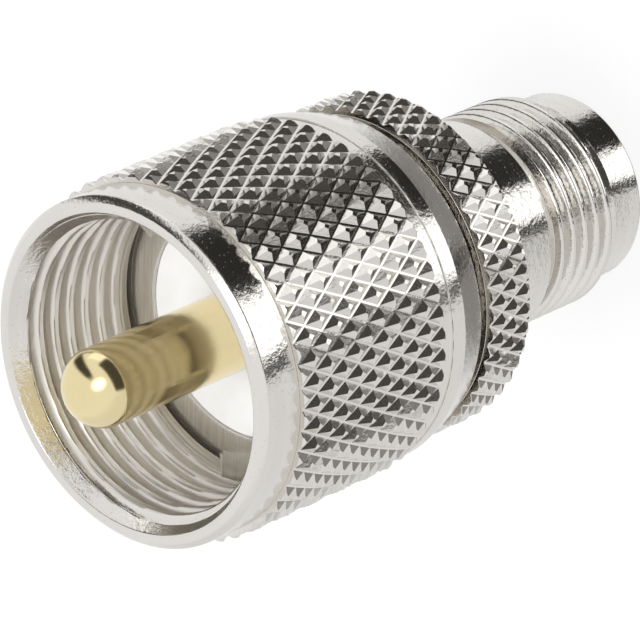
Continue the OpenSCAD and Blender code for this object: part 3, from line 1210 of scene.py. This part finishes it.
@dataclass(frozen=True)
class Card:
    """A panel of the studio, seen by the metal in one direction.

    Attributes:
        azimuth: Direction round the part from its X axis, in degrees.
        elevation: Height over the horizon, in degrees.
        width: Breadth as an angle, in degrees.
        height: Height as an angle, in degrees.
        level: Brightness, where 1 is white.
        roll: Turn of the panel about its own middle, in degrees.
        soft: Share of the panel over which its edge fades.
        oval: Whether the panel is an oval instead of a rectangle.
    """

    azimuth: float
    elevation: float
    width: float
    height: float
    level: float
    roll: float = 0.0
    soft: float = 0.2
    oval: bool = False

    def frame(self) -> tuple[Vector, Vector, Vector]:
        """Returns the directions of the panel's breadth, height and middle."""
        turn = Matrix.Rotation(math.radians(self.azimuth), 3, "Z")
        lift = Matrix.Rotation(-math.radians(self.elevation), 3, "Y")
        roll = Matrix.Rotation(math.radians(self.roll), 3, "X")
        whole = turn @ lift @ roll
        return whole @ Vector((0, 1, 0)), whole @ Vector((0, 0, 1)), whole @ Vector((1, 0, 0))


@dataclass
class Studio:
    """The pale floor, the soft light all round with its panels, and the camera.

    Attributes:
        rim_z: Height of the nut's rim, in millimetres.
        axis_tilt: Angle between the part's axis and the line of sight, in degrees.
        roll: Turn of the picture about the line of sight, in degrees.
        focal: Focal length in pixels of the picture.
        picture: Width of the picture, in pixels.
        rim_pixel: Where the middle of the nut's rim appears.
        rim_scale: Pixels in a millimetre there.
        sensor: Width of the camera's sensor, in millimetres.
        clip: Nearest and farthest distance that is seen, in metres.
        floor_size: Breadth of the floor, in metres.
        floor_colour: Its colour under the light.
        floor_glow: Share of plain white in what is seen of it.
        sky: Brightness between the panels.
        shade: Tint of dark panels.
        shade_below: Brightness from which a panel has no tint.
        lamp: Strength of the lamp overhead.
        lamp_angle: Breadth of that lamp, in degrees.
        cards: The panels, where later ones cover earlier ones.
    """

    rim_z: float
    axis_tilt: float = 47.0
    roll: float = -23.6
    focal: float = 7000.0
    picture: float = 640.0
    rim_pixel: tuple[float, float] = (128.2, 375.1)
    rim_scale: float = 20.99
    sensor: float = 36.0
    clip: tuple[float, float] = (0.01, 20.0)
    floor_size: float = 6.0
    floor_colour: Rgb = (0.92, 0.92, 0.92)
    floor_glow: float = 0.85
    sky: float = 0.95
    shade: Rgb = (1.0, 0.94, 0.87)
    shade_below: float = 0.6
    lamp: float = 1.6
    lamp_angle: float = 25
    cards: tuple[Card, ...] = (
        Card(175, -25, 130, 100, 0.84, soft=0.9),
        Card(0, -90, 60, 60, 0.28, soft=0.5, oval=True),
        Card(-8, -9, 34, 22, 1.25, soft=0.5),
        Card(27, -23, 36, 15, 0.33, soft=0.7),
        Card(-73, -3, 90, 38, 0.07, soft=0.35),
        Card(-48, -46, 42, 42, 0.03, soft=0.25),
        Card(-95, -43, 28, 44, 1.6, soft=0.15),
        Card(-121, -49, 8, 60, 0.05, soft=0.5),
        Card(12, 22, 20, 96, 0.06, roll=40, soft=0.8),
        Card(-77, 50, 28, 36, 2.5, soft=1.0, oval=True),
    )

    @staticmethod
    def stand(name: str, data: bpy.types.ID) -> Object:
        """Puts a lamp or a camera into the scene and returns its object."""
        made = bpy.data.objects.new(name, data)
        bpy.context.scene.collection.objects.link(made)
        return made

    def floor(self) -> None:
        """Lays the floor, which the camera sees as white with a faint shadow."""
        Bench.clear()
        bpy.ops.mesh.primitive_plane_add(size=self.floor_size)
        floor = bpy.context.object
        floor.name = "floor"
        floor.visible_glossy = False
        made = bpy.data.materials.new("pale_floor")
        tree = Tree.emptied(made)
        rays = tree.add("LightPath").outputs
        seen = tree.math("MAXIMUM", rays["Is Camera Ray"], rays["Is Glossy Ray"])
        seen = tree.math("MAXIMUM", seen, rays["Is Transmission Ray"])
        matt = tree.add("BsdfDiffuse", {"Color": (*self.floor_colour, 1)})
        white = tree.add("Emission", {"Color": (1, 1, 1, 1), "Strength": 1.0})
        share = tree.math("MULTIPLY", seen, self.floor_glow)
        both = tree.add("MixShader", {"Fac": share, 1: matt.outputs[0], 2: white.outputs[0]})
        tree.add("OutputMaterial", {"Surface": both.outputs[0]})
        floor.data.materials.append(made)

    def light(self) -> None:
        """Sets the soft light all round, with the panels that the metal mirrors."""
        world = bpy.data.worlds.new("studio")
        bpy.context.scene.world = world
        tree = Tree.emptied(world)
        way = tree.add("TexCoord").outputs["Generated"]
        tone = self.sky
        for card in self.cards:
            tone = tree.fade(self.card_mask(tree, way, card), tone, card.level)
        shown = tree.fade(tree.add("LightPath").outputs["Is Camera Ray"], tone, 1.0)
        warmth = tree.ramp(shown, 0.0, self.shade_below, (0.0, 1.0))
        colour = tree.blend(warmth, self.shade, (1.0, 1.0, 1.0))
        back = tree.add("Background", {"Color": colour, "Strength": shown})
        tree.add("OutputWorld", {"Surface": back.outputs[0]})

    def overhead(self) -> None:
        """Hangs a broad soft lamp over the plug, which lights the insulator but isn't mirrored."""
        data = bpy.data.lights.new("overhead", "SUN")
        data.energy = self.lamp
        data.angle = math.radians(self.lamp_angle)
        self.stand("overhead", data).visible_glossy = False

    @staticmethod
    def card_mask(tree: Tree, way: NodeSocket, card: Card) -> NodeSocket:
        """Works out where a panel is seen.

        Args:
            tree: The world's tree.
            way: The direction looked in.
            card: The panel.

        Returns:
            1 inside the panel and 0 outside it.
        """
        across, up, out = card.frame()
        dots = [
            tree.add("VectorMath", {0: way, 1: axis}, operation="DOT_PRODUCT").outputs["Value"]
            for axis in (across, up, out)
        ]
        front = tree.math("MAXIMUM", dots[2], SLIVER)
        mask = tree.math("GREATER_THAN", dots[2], 0.0)
        shares = []
        for dot, extent in zip(dots[:2], (card.width, card.height)):
            half = math.tan(math.radians(extent / 2))
            shares.append(tree.math("ABSOLUTE", tree.math("DIVIDE", dot, tree.math("MULTIPLY", front, half))))
        if card.oval:
            squares = [tree.math("MULTIPLY", share, share) for share in shares]
            shares = [tree.math("SQRT", tree.math("ADD", *squares))]
        for share in shares:
            inside = tree.ramp(share, 1 - card.soft / 2, 1 + card.soft / 2, (1.0, 0.0))
            mask = tree.math("MULTIPLY", mask, inside)
        return mask

    def camera(self) -> None:
        """Places the camera so that the rim's middle falls on its pixel."""
        tilt, roll = math.radians(self.axis_tilt), math.radians(self.roll)
        right = Vector(
            (math.sin(roll), -math.cos(tilt) * math.cos(roll), -math.sin(tilt) * math.cos(roll))
        )
        up = Vector((math.cos(roll), math.cos(tilt) * math.sin(roll), math.sin(tilt) * math.sin(roll)))
        ahead = Vector((0, math.sin(tilt), -math.cos(tilt)))
        depth = self.focal / self.rim_scale
        off_x = (self.rim_pixel[0] - self.picture / 2) / self.rim_scale
        off_y = (self.rim_pixel[1] - self.picture / 2) / self.rim_scale
        place = Vector((0, 0, self.rim_z)) - (right * off_x - up * off_y + ahead * depth)
        data = bpy.data.cameras.new("camera")
        data.sensor_width = self.sensor
        data.lens = self.focal / self.picture * self.sensor
        data.clip_start, data.clip_end = self.clip
        camera = self.stand("camera", data)
        turn = Matrix((right, up, -ahead)).transposed()
        camera.matrix_world = Matrix.Translation(place * MM) @ turn.to_4x4()
        bpy.context.scene.camera = camera


@dataclass
class InnerPieces:
    """The insulators, the jack's contact and the retaining ring, which keep their own shapes."""

    nodes: dict[str, Object]

    def dress(self) -> list[Object]:
        """Gives each of them its finish.

        Returns:
            The dressed pieces.
        """
        white = InsulatorFinish().material
        finishes: dict[str, tuple[Material, Slot]] = {
            "plug_insulator": (white, Slot.INSULATOR),
            "jack_insulator": (white, Slot.INSULATOR),
            "jack_contact": (GILT.material, Slot.GOLD),
            "retaining_ring": (SPRING_STEEL.material, Slot.SPRING),
        }
        for name, (material, slot) in finishes.items():
            piece = self.nodes[name]
            piece.data.materials.clear()
            piece.data.materials.append(material)
        return [self.nodes[name] for name in finishes]


def main() -> None:
    """Builds the adapter's looks, the studio and the camera."""
    logging.basicConfig(level=logging.INFO, format="%(name)s: %(message)s")
    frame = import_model()
    bpy.context.scene.view_settings.view_transform = "Standard"
    nut_low, nut_high = (corner.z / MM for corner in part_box("coupling_nut"))
    pin_low, pin_high = (corner.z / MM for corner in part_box("centre_pin"))
    pieces = [
        AdapterBody().dress(),
        CouplingNut(rear_z=nut_low, rim_z=nut_high).dress(),
        CentrePin(tip_z=pin_high, foot_z=pin_low).dress(),
        *InnerPieces(frame["nodes"]).dress(),
    ]
    for piece in pieces:
        LOG.info("%s: %d faces", piece.name, len(piece.data.polygons))
    studio = Studio(rim_z=nut_high)
    studio.floor()
    studio.light()
    studio.overhead()
    studio.camera()


if __name__ == "__main__":
    main()
